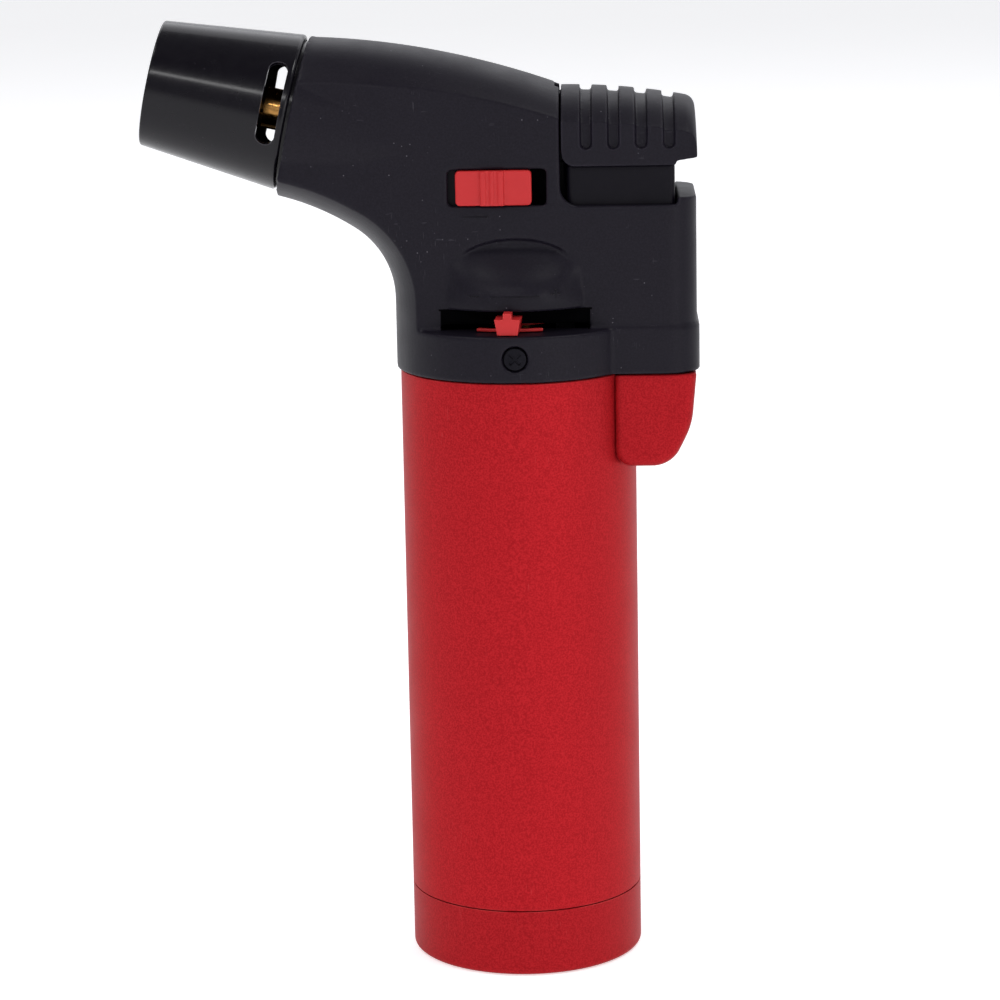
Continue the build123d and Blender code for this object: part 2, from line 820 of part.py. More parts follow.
def outlet_valve_stem():
    """The stem that the lever lifts, with the gas passage and the hose barb on top."""
    foot_low = valve_chamber_low + stem_seal_thickness
    foot_top = foot_low + stem_foot_thickness
    flange_top = stem_flange_low + stem_flange_thickness
    top = flange_top + barb_length
    stem = disc(valve_chamber_radius - stem_foot_gap, foot_low, foot_top)
    stem += disc(valve_stem_radius, foot_top, stem_flange_low)
    stem += disc(stem_flange_radius, stem_flange_low, flange_top)
    stem += disc(barb_radius, flange_top, top)
    inlet_z = foot_top + 0.9
    passage = disc(stem_passage_radius, inlet_z - stem_passage_radius, top + 1)
    inlet = Pos(0, 0, inlet_z) * Rot(90, 0, 0) * Cylinder(stem_passage_radius, 3 * valve_stem_radius)
    return stem - passage - inlet


def stem_seal():
    """The rubber pad under the stem's foot, which closes the passage."""
    top = valve_chamber_low + stem_seal_thickness
    return disc(valve_chamber_radius - stem_foot_gap, valve_chamber_low, top)


def outlet_valve_spring():
    """The spring that closes the outlet valve."""
    low = valve_chamber_low + stem_seal_thickness + stem_foot_thickness
    return coil((valve_chamber_radius + valve_stem_radius) / 2, spring_wire, low, valve_chamber_high, 2.5)


# ---- Valve lever and adjuster ----
def valve_lever():
    """The fork that lifts the stem when the trigger's finger presses its far end."""
    sides = (-lever_half_width, lever_half_width)
    arm = block((lever_front_x, lever_rear_x), sides, (lever_low, lever_high))
    arm = fillet(arm.edges().filter_by(Axis.Z).group_by(Axis.X)[-1], 1.6)
    across = Pos(pivot_x, 0, pivot_z) * Rot(90, 0, 0)
    arm += across * Cylinder(lever_eye_radius, 2 * lever_half_width)
    slot_sides = (-lever_slot_half, lever_slot_half)
    arm -= block((lever_front_x - 1, lever_slot_end), slot_sides, (lever_low - 1, lever_high + 1))
    return arm - across * Cylinder(lever_pin_radius + running_gap, past)


def lever_pin():
    """The steel pin that the lever turns on."""
    length = 2 * (lever_half_width + sliding_gap + ear_thickness)
    return Pos(pivot_x, 0, pivot_z) * Rot(90, 0, 0) * Cylinder(lever_pin_radius, length)


def lever_tip():
    """The outer end of the adjuster's lever: a block with a raised pointer."""
    half = lever_tip_width / 2
    point = pointer_width / 2
    top = arm_low + lever_tip_height
    outline = [
        (-half, top),
        (-point, top),
        (-point, top + pointer_height),
        (point, top + pointer_height),
        (point, top),
        (half, top),
        (half - lever_tip_taper, arm_low),
        (-half + lever_tip_taper, arm_low),
    ]
    inner = adjuster_rim_radius - lever_tip_root
    tip = Pos(0, -(lever_tip_radius + inner) / 2, 0) * side_prism(outline, (lever_tip_radius - inner) / 2)
    return tip - block((-1, 1), (-hood_radius - 0.4, 0), (top + running_gap, above))


def adjuster_ring():
    """The flow adjuster: a ring on the valve with a lever and a rim out in the head's window."""
    bore = valve_radius + running_gap
    hub = disc(adjuster_hub_radius, adjuster_hub_low, adjuster_hub_high, bore=bore)
    inner = adjuster_rim_radius - adjuster_rim_width
    reach = (-adjuster_rim_radius + adjuster_rim_width / 2, -adjuster_hub_radius + 1)
    arm = block((-adjuster_arm_half, adjuster_arm_half), reach, (arm_low, arm_high))
    start = -90 - adjuster_rim_half_angle
    face = Rectangle(adjuster_rim_width, adjuster_arm_thickness, align=(Align.MIN, Align.MIN))
    face = Plane.XZ * Pos(inner, arm_low) * face
    rim = Rot(0, 0, start) * revolve(face, Axis.Z, 2 * adjuster_rim_half_angle)
    return Rot(0, 0, adjuster_rest_angle) * (hub + arm + rim + lever_tip())


# ---- Nozzle and burner ----
def air_slot(side):
    """One air slot: a stretch round the cone with round ends."""
    middle = slot_start + slot_width / 2
    deep = 6.0
    half = slot_half_angle - degrees(slot_width / 2 / shroud_rear_radius)
    centre = side * slot_centre_angle
    face = Plane.XZ * Pos(shroud_rear_radius, middle) * Rectangle(deep, slot_width)
    cut = Rot(0, 0, centre - half) * revolve(face, Axis.Z, 2 * half)
    for angle in (centre - half, centre + half):
        end = Pos(0, 0, middle) * Rot(0, 0, angle) * Pos(shroud_rear_radius, 0, 0) * Rot(0, 90, 0)
        cut += end * Cylinder(slot_width / 2, deep)
    return cut


def nozzle_shroud():
    """The black metal cone round the flame, with an air slot in each side."""
    wall = shroud_wall
    outline = [
        (shroud_rear_radius - wall, 0),
        (shroud_rear_radius, 0),
        (shroud_tip_radius, shroud_length),
        (shroud_tip_radius - wall, shroud_length),
    ]
    shell = turned(outline)
    rings = shell.edges().filter_by(GeomType.CIRCLE)
    rear = rings.group_by(Axis.Z)[0].sort_by(SortBy.RADIUS)[-1]
    shell = fillet(rear, shroud_rear_round)
    tip = shell.edges().filter_by(GeomType.CIRCLE).group_by(Axis.Z)[-1]
    shell = fillet(tip, shroud_tip_round)
    for side in (-1, 1):
        shell -= air_slot(side)
    return barrel * Rot(0, 0, shroud_turn) * shell


def nozzle_holder():
    """The plug in the barrel's mouth that carries the shroud and the burner."""
    spigot = shroud_rear_radius - shroud_wall - seam_gap
    plug = barrel_radius - housing_wall - barrel_drop - holder_gap
    rear = -joint_gap - holder_length
    body = disc(plug, rear, -joint_gap) + disc(spigot, -joint_gap, holder_spigot_length)
    body -= disc(jet_holder_radius + running_gap, rear - 1, -joint_gap)
    body -= disc(tube_radius + seat_gap, rear, past)
    body -= Pos(insulator_offset, 0, 0) * disc(insulator_radius + seat_gap, rear - 1, past)
    return barrel * body


def jet_holder():
    """The brass block behind the burner, with seats for the jet and the tube and a barb."""
    body = disc(jet_holder_radius, jet_holder_rear, jet_holder_front)
    hexagon = extrude(RegularPolygon(jet_holder_radius * 1.15, 6), hexagon_length)
    body += Pos(0, 0, jet_holder_rear) * hexagon
    body += disc(barb_radius, jet_holder_rear - barb_length, jet_holder_rear)
    body -= disc(stem_passage_radius, jet_holder_rear - barb_length - 1, jet_rear)
    body -= disc(jet_radius, jet_rear, tube_rear)
    body -= disc(tube_radius, tube_rear, jet_holder_front + 1)
    return barrel * body


def gas_jet():
    """The jet: a disc with a fine hole, behind the mixing tube."""
    return barrel * disc(jet_radius, jet_rear, tube_rear, bore=jet_hole_radius)


def mixing_tube():
    """The brass tube that carries gas and air to the burner cup, with a collar on the holder."""
    bore = tube_radius - tube_wall
    tube = disc(tube_radius, tube_rear, tube_front, bore=bore)
    collar_end = holder_spigot_length + tube_collar_length
    return barrel * (tube + disc(tube_collar_radius, holder_spigot_length, collar_end, bore=bore))


def burner_cup():
    """The steel cup that the flame sits in."""
    inner = cup_radius - cup_wall
    outline = [
        (tube_radius, cup_rear),
        (cup_radius, cup_rear),
        (cup_radius, cup_front),
        (inner, cup_front),
        (inner, cup_rear + cup_wall),
        (tube_radius, cup_rear + cup_wall),
    ]
    return barrel * turned(outline)


def flame_plate():
    """The pierced plate in the cup that steadies the flame."""
    low = plate_place - 1
    high = plate_place + plate_thickness
    plate = disc(cup_radius - cup_wall, plate_place, high)
    for ring_radius, count in plate_rings:
        for location in PolarLocations(ring_radius, count):
            plate -= location * disc(plate_hole_radius, low, high + 1)
    return barrel * (plate - disc(plate_hole_radius, low, high + 1))


def electrode_insulator():
    """The ceramic tube that carries the electrode past the burner cup."""
    tube = disc(insulator_radius, insulator_rear, insulator_front, bore=electrode_radius)
    return barrel * Pos(insulator_offset, 0, 0) * tube


def electrode():
    """The wire that the spark jumps from, bent in over the mouth of the cup."""
    up = insulator_offset
    path = FilletPolyline(
        (up, 0, insulator_rear - 2),
        (up, 0, electrode_tip_place - 1.5),
        (up + electrode_tip_reach, 0, electrode_tip_place),
        radius=1.2,
    )
    return barrel * tube_along(path, electrode_radius)


# ---- Hose and wires ----
def gas_hose():
    """The hose from the valve's barb to the jet holder's barb."""
    x, z = along_barrel(jet_holder_rear - 0.2, 0)
    corner_z = z + x * sin(tilt) / cos(tilt)
    path = FilletPolyline((0, 0, hose_low), (0, 0, corner_z), (x, 0, z), radius=hose_bend_radius)
    return tube_along(path, hose_radius, hose_bore_radius)


def wire(points, radii, radius):
    """A wire that ends flat against the igniter's front."""
    end = piezo_x - piezo_half_x
    path = FilletPolyline(*points, radius=radii)
    return tube_along(path, radius) - block((end, end + past), (0, past), (0, above))


def ignition_wire():
    """The insulated wire from the igniter to the electrode."""
    x, z = along_barrel(insulator_rear - 2.1, insulator_offset)
    points = [
        (x, 0, z),
        (x + 5.0, 1.2, z - 1.2),
        (x + 15.0, 5.2, collar_bottom + 23.6),
        (-5.5, 7.2, collar_bottom + 14.6),
        (3.0, 7.6, collar_bottom + 9.2),
        (piezo_x - 9.9, 5.4, collar_bottom + 8.0),
        (piezo_x - piezo_half_x, 3.6, collar_bottom + 8.0),
    ]
    return wire(points, [9.0, 11.0, 8.0, 9.0, 9.0], wire_radius)


def ground_wire():
    """The bare return wire from the igniter to the jet holder."""
    x, z = along_barrel(jet_holder_rear + 2.0, 0)
    points = [
        (x, jet_holder_radius + ground_wire_radius, z),
        (x + 4.5, 5.6, z - 4.0),
        (x + 12.8, 8.6, collar_bottom + 24.6),
        (-3.5, 9.1, collar_bottom + 15.6),
        (5.0, 9.1, collar_bottom + 10.2),
        (piezo_x - 10.4, 6.4, collar_bottom + 9.8),
        (piezo_x - piezo_half_x, 4.2, collar_bottom + 10.6),
    ]
    return wire(points, [6.0, 9.0, 9.0, 9.0, 9.0], ground_wire_radius)


# ---- Igniter ----
def piezo_case():
    """The igniter's case, open at the top for its plunger."""
    x_range = (piezo_x - piezo_half_x, piezo_x + piezo_half_x)
    case = block(x_range, (-piezo_half_y, piezo_half_y), (piezo_bottom, piezo_top))
    case = fillet(case.edges().filter_by(Axis.Z), 0.8)
    bore = plunger_radius + running_gap
    return case - Pos(piezo_x, 0, 0) * disc(bore, piezo_bore_bottom, piezo_top + 1)


def piezo_plunger():
    """The plunger that the trigger drives into the igniter."""
    plunger = Pos(piezo_x, 0, 0) * disc(plunger_radius, plunger_low, plunger_top)
    return fillet(plunger.edges().group_by(Axis.Z)[-1], 0.4)


def piezo_spring():
    """The spring that lifts the plunger and the trigger."""
    spring = coil(piezo_spring_radius, piezo_spring_wire, piezo_bore_bottom, plunger_low, 5)
    return Pos(piezo_x, 0, 0) * spring


# ---- Trigger ----
def guide_rib(low, high):
    """The rib down the trigger's front, in the groove of the well's front wall."""
    along = (well_front - guide_rib_reach, neck_front + 0.5)
    return block(along, (-guide_rib_half, guide_rib_half), (low, high))


def cap_form(inset):
    """The trigger cap's outer form, drawn in by inset for its grooves."""
    half = side_half - inset
    sections = []
    for along in (-1.0, 8.0, 16.0, 24.0):
        x = cap_front + along
        top = cap_peak_z - cap_fall * along**2 - inset
        sections.append(crown_section(x, top, cap_crown_radius - inset, half))
    crown = loft(sections)
    rear = cap_rear - inset
    front = cap_front + inset
    outline = [
        (front, above),
        (front, cap_bottom),
        (neck_rear + 0.05, cap_bottom),
        (neck_rear + 0.3, cap_lip_bottom - 0.3),
        (rear, cap_lip_bottom + 0.2),
        (rear - cap_rear_lean, cap_peak_z),
        (rear - cap_rear_lean, above),
    ]
    return crown & side_prism(outline, half)


def trigger_cap():
    """The ribbed thumb cap."""
    cap = cap_form(0)
    corner = cap.edges().filter_by(Axis.Y).sort_by(Axis.Z)[:2].sort_by(Axis.X)[0]
    cap = fillet(corner, cap_front_round)
    rear = cap.edges().filter_by(lambda e: e.center().X > cap_rear - 1.5)
    cap = fillet(rear.sort_by(Axis.Z)[-1], cap_rear_round)
    core = cap_form(groove_depth)
    for index in range(groove_count):
        x = cap_front + groove_first + index * groove_pitch
        across = (x - groove_width / 2, x + groove_width / 2)
        column = block(across, (-past, past), (groove_bottom, above))
        foot = Pos(x, 0, groove_bottom) * Rot(90, 0, 0) * Cylinder(groove_width / 2, 2 * past)
        cap -= column + foot - core
    along = (neck_front + cap_wall, neck_rear - seam_gap)
    cap -= block(along, (-cap_core_half, cap_core_half), (cap_bottom - 1, cap_core_top))
    return cap + guide_rib(cap_bottom, cap_peak_z - guide_rib_top_drop)


def trigger_body():
    """The slide under the cap, with a finger for the valve lever and a pad for the igniter."""
    sides = (-neck_half, neck_half)
    slide = block((neck_front, neck_rear), sides, (neck_bottom, cap_bottom))
    slide = fillet(slide.edges().filter_by(Axis.Z), neck_corner_radius)
    slide += guide_rib(neck_bottom, cap_bottom)
    core_half = cap_core_half - seat_gap
    core_x = (neck_front + cap_wall + seat_gap, neck_rear - seam_gap - seat_gap)
    slide += block(core_x, (-core_half, core_half), (cap_bottom - 1, cap_core_top))
    pad_front = piezo_x - plunger_radius - 2.2
    inner = neck_half - slide_wall
    hollow_x = (neck_front + cap_wall + slide_wall, pad_front)
    slide -= block(hollow_x, (-inner, inner), (neck_bottom - 1, cap_core_top - 2))
    slide -= block((pad_front - 0.1, neck_rear + 1), (-past, past), (neck_bottom - 1, plunger_top))
    finger_range = (finger_x - finger_half_thickness, finger_x + finger_half_thickness)
    finger_sides = (-finger_half_width, finger_half_width)
    return slide + block(finger_range, finger_sides, (finger_bottom, cap_core_top - 1))


# ---- Lock ----
def lock_slide():
    """The red lock button with a ridged grip."""
    z_range = (lock_slot_low + sliding_gap, lock_slot_high - sliding_gap)
    face = -side_half
    plate = block((lock_left, lock_right), (face - lock_proud, face + housing_wall + seat_gap), z_range)
    plate = fillet(plate.edges().filter_by(Axis.Y), lock_corner)
    plate = fillet(plate.edges().group_by(Axis.Y)[0], lock_edge_round)
    grip = block((lock_grip_left, lock_grip_right), (face - lock_grip_proud, face), z_range)
    grip = fillet(grip.edges().group_by(Axis.Y)[0], lock_edge_round)
    pitch = (lock_grip_right - lock_grip_left) / (lock_grooves + 1)
    groove = disc(lock_groove_radius, lock_slot_low - 1, lock_slot_high + 1)
    centre_y = face - lock_grip_proud - lock_groove_radius / 2
    for index in range(lock_grooves):
        x = lock_grip_left + (index + 1) * pitch
        grip -= Pos(x, centre_y, 0) * groove
    return plate + grip


def lock_carrier():
    """The plate behind the wall that holds the lock button in its slot."""
    inner = -side_half + housing_wall + seat_gap
    middle = (lock_slot_low + lock_slot_high) / 2
    return block(
        (lock_slot_left - 2.2, well_front - housing_wall - carrier_tongue),
        (inner, inner + carrier_thickness),
        (middle - carrier_half_height, middle + carrier_half_height),
    )


PARTS = {
    "head_housing": head_housing,
    "collar_screws": collar_screws,
    "body_sleeve": body_sleeve,
    "base_cap": base_cap,
    "rear_pod": rear_pod,
    "fuel_tank": fuel_tank,
    "fill_valve_body": fill_valve_body,
    "fill_valve_stem": fill_valve_stem,
    "fill_valve_seal": fill_valve_seal,
    "fill_valve_spring": fill_valve_spring,
    "tank_lid": tank_lid,
    "lid_gasket": lid_gasket,
    "outlet_valve_body": outlet_valve_body,
    "valve_filter": valve_filter,
    "outlet_valve_stem": outlet_valve_stem,
    "stem_seal": stem_seal,
    "outlet_valve_spring": outlet_valve_spring,
    "valve_lever": valve_lever,
    "lever_pin": lever_pin,
    "adjuster_ring": adjuster_ring,
    "nozzle_shroud": nozzle_shroud,
    "nozzle_holder": nozzle_holder,
    "jet_holder": jet_holder,
    "gas_jet": gas_jet,
    "mixing_tube": mixing_tube,
    "burner_cup": burner_cup,
    "flame_plate": flame_plate,
    "electrode_insulator": electrode_insulator,
    "electrode": electrode,
    "gas_hose": gas_hose,
    "ignition_wire": ignition_wire,
    "ground_wire": ground_wire,
    "piezo_case": piezo_case,
    "piezo_plunger": piezo_plunger,
    "piezo_spring": piezo_spring,
    "trigger_cap": trigger_cap,
    "trigger_body": trigger_body,
    "lock_slide": lock_slide,
    "lock_carrier": lock_carrier,
}

os.makedirs("parts", exist_ok=True)
for name, build in PARTS.items():
    export_step(build(), f"parts/{name}.step")
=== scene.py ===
import json
from math import radians, sqrt

import bmesh
import bpy
from mathutils import Matrix, Vector

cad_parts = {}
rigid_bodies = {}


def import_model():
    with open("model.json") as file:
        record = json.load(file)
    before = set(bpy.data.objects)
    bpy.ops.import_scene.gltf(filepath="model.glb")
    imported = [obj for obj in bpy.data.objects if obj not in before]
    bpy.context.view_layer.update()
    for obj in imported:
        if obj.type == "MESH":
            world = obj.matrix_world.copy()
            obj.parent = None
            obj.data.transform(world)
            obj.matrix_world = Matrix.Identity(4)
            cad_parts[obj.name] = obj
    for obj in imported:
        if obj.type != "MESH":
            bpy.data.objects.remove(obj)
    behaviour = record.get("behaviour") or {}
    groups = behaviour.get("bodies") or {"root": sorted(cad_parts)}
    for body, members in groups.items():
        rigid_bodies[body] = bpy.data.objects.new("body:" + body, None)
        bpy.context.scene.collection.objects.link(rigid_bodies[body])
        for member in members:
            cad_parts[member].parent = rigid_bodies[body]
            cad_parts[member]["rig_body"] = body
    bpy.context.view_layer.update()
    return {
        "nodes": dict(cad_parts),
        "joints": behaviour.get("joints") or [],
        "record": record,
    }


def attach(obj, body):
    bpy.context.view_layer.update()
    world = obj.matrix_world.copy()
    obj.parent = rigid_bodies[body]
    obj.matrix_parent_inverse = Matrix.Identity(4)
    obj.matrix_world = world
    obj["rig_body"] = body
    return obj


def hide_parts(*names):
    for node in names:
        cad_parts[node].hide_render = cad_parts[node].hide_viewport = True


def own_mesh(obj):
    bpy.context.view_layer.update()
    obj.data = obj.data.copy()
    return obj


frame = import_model()

NODES = frame["nodes"]
MM = 0.001

# ---- Camera: in front of the left side, a little above the torch, from half a metre away ----
CAMERA_PLACE = Vector((14.53, -556.71, 194.3)) * MM
CAMERA_YAW = 1.85           # degrees, as the next two
CAMERA_PITCH = -11.88
CAMERA_ROLL = -1.07
CAMERA_LENS = 122.0         # millimetres, as the sensor
CAMERA_SENSOR = 36.0
CAMERA_NEAR = 0.01          # metres, and nothing nearer than this shows

# ---- Places on the head, in millimetres ----
SIDE = 12.2                 # flat side of the head
FLAT_SIDE = 12.5            # past this depth a mark lies on the hood's curve
HOOD_RADIUS = 16.3          # of the hood's lip, where its marks are
HOOD_MARK_Z = 113.9
# The adjuster's window: the head's faces inside this box get painted shade
WINDOW_HALF = 12.3          # the window's half width, then its depth and its height
WINDOW_FRONT, WINDOW_BACK = -14.8, -8.0
WINDOW_LOW, WINDOW_HIGH = 108.0, 111.35

# ---- Marks on the head, in millimetres ----
MARK_HEIGHT = 0.22
MARK_DEPTH = 0.3            # the marks are rooted this far under the surface
MARK_TOP = 0.28             # half the flat top, as a share of a mark's width
DASH_Z = 126.4
DASH_FRONT, DASH_BACK = -8.2, -4.2
DASH_WIDTH = 0.45
MINUS_FRONT, MINUS_BACK = -7.3, -5.6
MINUS_WIDTH = 0.35
WEDGE_FRONT, WEDGE_BACK = -3.8, 4.0
WEDGE_THIN, WEDGE_THICK = 0.25, 0.6
PLUS_X = 6.6
PLUS_Z = HOOD_MARK_Z + 0.3
PLUS_ARM = 0.7
PLUS_WIDTH = 0.4
HOOD_STEPS = 12             # straight runs in a mark that follows the hood's curve

# ---- Moulded pieces ----
SMOOTHING = 0.5             # how far a smoothing pass moves a point towards its neighbours

# ---- Material settings that several materials share ----
EDGE_SAMPLES = 6            # rays that look for a corner
EDGE_FLAT, EDGE_TURNED = 0.995, 0.90    # how far a normal agrees with its rounded one
SPOTS_LOW, SPOTS_HIGH = 0.3, 0.7        # the part of a noise that its level is spread over

# ---- Stage, in metres ----
FLOOR_SIZE = 8.0
FLOOR_DROP = 0.0001         # under the torch's base, so that the two never share a plane
LIT_POINT = Vector((0, 0, 0.08))        # the lights point at the torch's middle


# ---- Node helpers ----
# A Mix node keeps its colour sockets at these places, after those of its other data types
MIX_FIRST, MIX_SECOND, MIX_RESULT = 6, 7, 2


def map_range(tree, source, low, high, out_low, out_high):
    """A node that carries source from the range low to high over to the range out_low to out_high."""
    node = tree.nodes.new("ShaderNodeMapRange")
    node.inputs["From Min"].default_value = low
    node.inputs["From Max"].default_value = high
    node.inputs["To Min"].default_value = out_low
    node.inputs["To Max"].default_value = out_high
    tree.links.new(source, node.inputs["Value"])
    return node


def product(tree, first, second):
    """One value times another."""
    node = tree.nodes.new("ShaderNodeMath")
    node.operation = "MULTIPLY"
    tree.links.new(first, node.inputs[0])
    tree.links.new(second, node.inputs[1])
    return node.outputs[0]


class Shader:
    """A material under construction, with short names for the nodes that it is made of."""

    def __init__(self, name, **constants):
        self.material = bpy.data.materials.new(name)
        self.material.use_nodes = True
        self.tree = self.material.node_tree
        self.bsdf = self.tree.nodes["Principled BSDF"]
        self.place = self.tree.nodes.new("ShaderNodeTexCoord").outputs["Object"]
        for socket, value in constants.items():
            self.bsdf.inputs[socket.replace("_", " ")].default_value = value

    def link(self, source, socket):
        """Drive one of the shader's sockets with a node's output."""
        self.tree.links.new(source, self.bsdf.inputs[socket])

    def noise(self, size, detail=4.0, roughness=0.5, stretch=(1, 1, 1)):
        """A noise whose grains are about size millimetres across, longer along the axes in stretch."""
        mapping = self.tree.nodes.new("ShaderNodeMapping")
        mapping.inputs["Scale"].default_value = [1 / s for s in stretch]
        node = self.tree.nodes.new("ShaderNodeTexNoise")
        node.inputs["Scale"].default_value = 1 / (size * MM)
        node.inputs["Detail"].default_value = detail
        node.inputs["Roughness"].default_value = roughness
        self.tree.links.new(self.place, mapping.inputs["Vector"])
        self.tree.links.new(mapping.outputs["Vector"], node.inputs["Vector"])
        return node.outputs["Fac"]

    def cells(self, size):
        """Distance to the nearest of a set of scattered points, size millimetres apart."""
        node = self.tree.nodes.new("ShaderNodeTexVoronoi")
        node.inputs["Scale"].default_value = 1 / (size * MM)
        self.tree.links.new(self.place, node.inputs["Vector"])
        return node.outputs["Distance"]

    def level(self, source, low, high, out_low=0.0, out_high=1.0):
        """Source between low and high, carried to the range from out_low to out_high."""
        return map_range(self.tree, source, low, high, out_low, out_high).outputs["Result"]

    def mix(self, factor, first, second):
        """A colour between two colours, each of them a tuple or a node's output."""
        node = self.tree.nodes.new("ShaderNodeMix")
        node.data_type = "RGBA"
        self.tree.links.new(factor, node.inputs["Factor"])
        for place, colour in ((MIX_FIRST, first), (MIX_SECOND, second)):
            if isinstance(colour, tuple):
                node.inputs[place].default_value = (*colour, 1.0)
            else:
                self.tree.links.new(colour, node.inputs[place])
        return node.outputs[MIX_RESULT]

    def edges(self, radius):
        """1 along corners and edges, 0 on open ground: how far a rounded edge's normal would turn."""
        bevel = self.tree.nodes.new("ShaderNodeBevel")
        bevel.samples = EDGE_SAMPLES
        bevel.inputs["Radius"].default_value = radius * MM
        flat = self.tree.nodes.new("ShaderNodeNewGeometry")
        dot = self.tree.nodes.new("ShaderNodeVectorMath")
        dot.operation = "DOT_PRODUCT"
        self.tree.links.new(bevel.outputs["Normal"], dot.inputs[0])
        self.tree.links.new(flat.outputs["Normal"], dot.inputs[1])
        return self.level(dot.outputs["Value"], EDGE_FLAT, EDGE_TURNED)

    def highlit_and_worn_edges(self, radius, size):
        """Edges made lighter, partly as painted edge highlights and partly as wear, more in some places
        than in others.
        """
        patchy = self.level(self.noise(size), 0.35, 0.65)
        return product(self.tree, self.edges(radius), patchy)

    def specks(self, spacing, share):
        """Small specks of dust, spacing millimetres apart, over part of the surface."""
        points = self.level(self.cells(spacing), share, share * 0.6)
        dusty = self.level(self.noise(7.0, 1.0), 0.50, 0.62)
        return product(self.tree, points, dusty)

    def scratches(self, size, stretch):
        """Sparse thin lines of a few millimetres, drawn out along the largest stretch."""
        lines = self.level(self.noise(size, 1.0, stretch=stretch), 0.70, 0.73)
        handled = self.level(self.noise(9.0, 2.0), 0.58, 0.65)
        return product(self.tree, lines, handled)

    def roughness(self, size, low, high, detail=5.0):
        """Roughness that wanders between low and high, over spots of about size millimetres."""
        self.link(self.level(self.noise(size, detail), SPOTS_LOW, SPOTS_HIGH, low, high), "Roughness")

    def bump(self, height, depth):
        """Relief of depth millimetres, on top of any relief given before."""
        node = self.tree.nodes.new("ShaderNodeBump")
        node.inputs["Distance"].default_value = depth * MM
        self.tree.links.new(height, node.inputs["Height"])
        normal = self.bsdf.inputs["Normal"]
        if normal.is_linked:
            self.tree.links.new(normal.links[0].from_socket, node.inputs["Normal"])
        self.tree.links.new(node.outputs["Normal"], normal)


# ---- Materials ----
def charcoal_plastic():
    """Dark grey ABS with a fine spark-eroded texture, dust in it and lighter edges, partly wear and
    partly painted edge highlights.
    """
    s = Shader("charcoal_plastic", Specular_IOR_Level=0.13)
    colour = s.mix(s.noise(18.0, 3.0), (0.0052, 0.0041, 0.0080), (0.0068, 0.0055, 0.0100))
    grain = s.level(s.noise(0.35, 3.0, 0.7), 0.38, 0.72)
    colour = s.mix(grain, colour, (0.0094, 0.0078, 0.0132))
    # Lighter edges: painted edge highlights, with some wear
    colour = s.mix(s.highlit_and_worn_edges(0.5, 5.0), colour, (0.026, 0.023, 0.034))
    colour = s.mix(s.scratches(0.16, (1, 1, 14)), colour, (0.026, 0.024, 0.031))
    colour = s.mix(s.scratches(0.18, (12, 1, 3)), colour, (0.022, 0.020, 0.027))
    s.link(s.mix(s.specks(1.5, 0.085), colour, (0.085, 0.080, 0.095)), "Base Color")
    s.roughness(6.0, 0.38, 0.47)
    s.bump(s.noise(0.22, 3.0, 0.6), 0.014)
    return s.material


def painted_shade_black():
    """Near-black painted shade for the head's faces inside the adjuster's window, standing in for the
    dark cavity behind it.
    """
    s = Shader("painted_shade_black", Specular_IOR_Level=0.02)
    s.link(s.mix(s.noise(2.0), (0.0006, 0.0006, 0.0008), (0.0012, 0.0011, 0.0015)), "Base Color")
    s.roughness(1.0, 0.8, 0.95, detail=4.0)
    s.bump(s.noise(0.3, 3.0), 0.01)
    return s.material


def black_plastic():
    """Smooth black moulding with flow marks, light rub marks, and lighter edges that are partly wear and
    partly painted edge highlights.
    """
    s = Shader("black_plastic", Specular_IOR_Level=0.10)
    colour = s.mix(s.noise(9.0), (0.0036, 0.0029, 0.0056), (0.0052, 0.0043, 0.0076))
    # Lighter edges: painted edge highlights, with some wear
    colour = s.mix(s.highlit_and_worn_edges(0.3, 3.0), colour, (0.012, 0.011, 0.015))
    s.link(s.mix(s.scratches(0.14, (1, 1, 16)), colour, (0.018, 0.017, 0.021)), "Base Color")
    s.roughness(4.0, 0.36, 0.48)
    s.bump(s.noise(0.4, 3.0), 0.004)
    return s.material


def red_paint(name, metallic, shade=1.0):
    """Satin metallic red: fine bright flakes under a soft clear coat, lighter along the edges, partly as
    thin paint and partly as painted edge highlights.
    """
    s = Shader(name, Metallic=metallic, Specular_IOR_Level=0.2, Coat_Weight=0.03, Coat_Roughness=0.35)
    s.bsdf.inputs["Specular Tint"].default_value = (0.55, 0.12, 0.14, 1.0)
    flakes = s.level(s.noise(0.28, 2.0), 0.38, 0.62)
    reds = ((0.330, 0.0084, 0.0125), (0.360, 0.0096, 0.0140), (0.48, 0.0155, 0.0210))
    dull, deep, flake = (tuple(shade * channel for channel in red) for red in reds)
    colour = s.mix(flakes, s.mix(s.noise(30.0, 3.0), dull, deep), flake)
    colour = s.mix(s.scratches(0.15, (1, 1, 18)), colour, (0.44, 0.030, 0.034))
    # Lighter edges: painted edge highlights, with some thin paint
    s.link(s.mix(s.highlit_and_worn_edges(0.3, 4.0), colour, (0.50, 0.045, 0.045)), "Base Color")
    s.roughness(9.0, 0.40, 0.47)
    s.bump(s.noise(0.12, 2.0), 0.005)
    return s.material


def red_plastic():
    """Bright red moulding of the lock and the adjuster, with lighter edges, partly wear and partly
    painted edge highlights.
    """
    s = Shader("red_plastic", Specular_IOR_Level=0.3)
    colour = s.mix(s.noise(3.0), (0.43, 0.013, 0.015), (0.50, 0.018, 0.020))
    # Lighter edges: painted edge highlights, with some wear
    s.link(s.mix(s.highlit_and_worn_edges(0.25, 1.5), colour, (0.62, 0.075, 0.065)), "Base Color")
    s.roughness(1.2, 0.42, 0.52)
    s.bump(s.noise(0.15, 3.0), 0.006)
    return s.material


